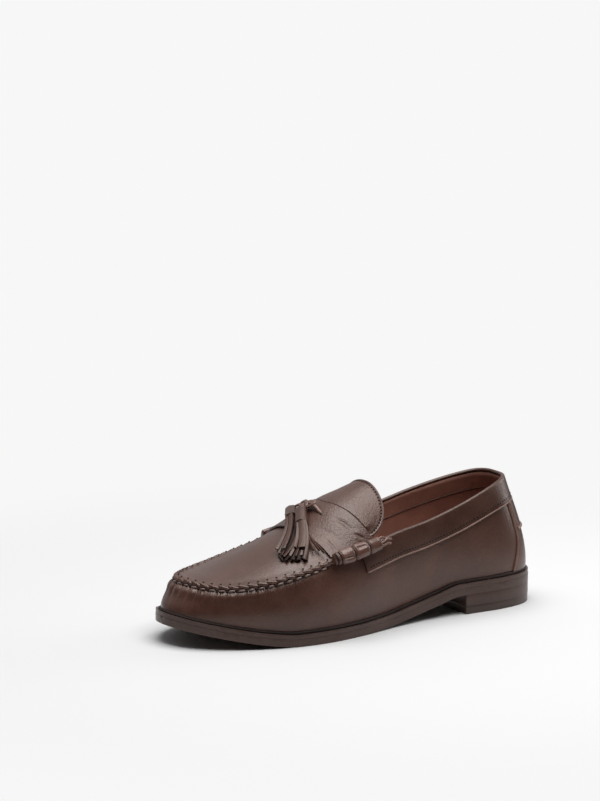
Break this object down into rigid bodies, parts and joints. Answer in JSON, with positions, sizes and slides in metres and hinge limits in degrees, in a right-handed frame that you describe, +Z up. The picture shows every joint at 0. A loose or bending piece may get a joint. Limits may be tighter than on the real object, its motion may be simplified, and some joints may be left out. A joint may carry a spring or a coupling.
{
  "type": "tassel loafer",
  "caption": "Left brown leather slip-on loafer with a moccasin seam, a saddle strap over the instep, hanging tassels and a low stacked heel.",
  "frame": {"origin": "centre of the bounding box at floor level", "axes": "-X to the toe, +X to the heel, -Y to the outer side of the foot, +Z up"},
  "size_m": [0.3, 0.107, 0.1006],
  "materials": {
    "upper_leather": "satin",
    "edge_leather": "satin",
    "lining_leather": "matt",
    "rubber": "matt"
  },
  "bodies": {
    "root": {"top_lift": "rubber", "heel_stack": "edge_leather", "outsole": "edge_leather", "welt": "edge_leather", "insole": "lining_leather", "upper": "upper_leather", "collar_band": "upper_leather", "heel_counter": "upper_leather", "heel_tab": "upper_leather", "tongue": "upper_leather", "saddle": "upper_leather", "beefroll_outer": "upper_leather", "roll_inner": "upper_leather", "tassel_near": "upper_leather", "tassel_far": "upper_leather", "lace_knot": "upper_leather"}
  },
  "joints": []
}
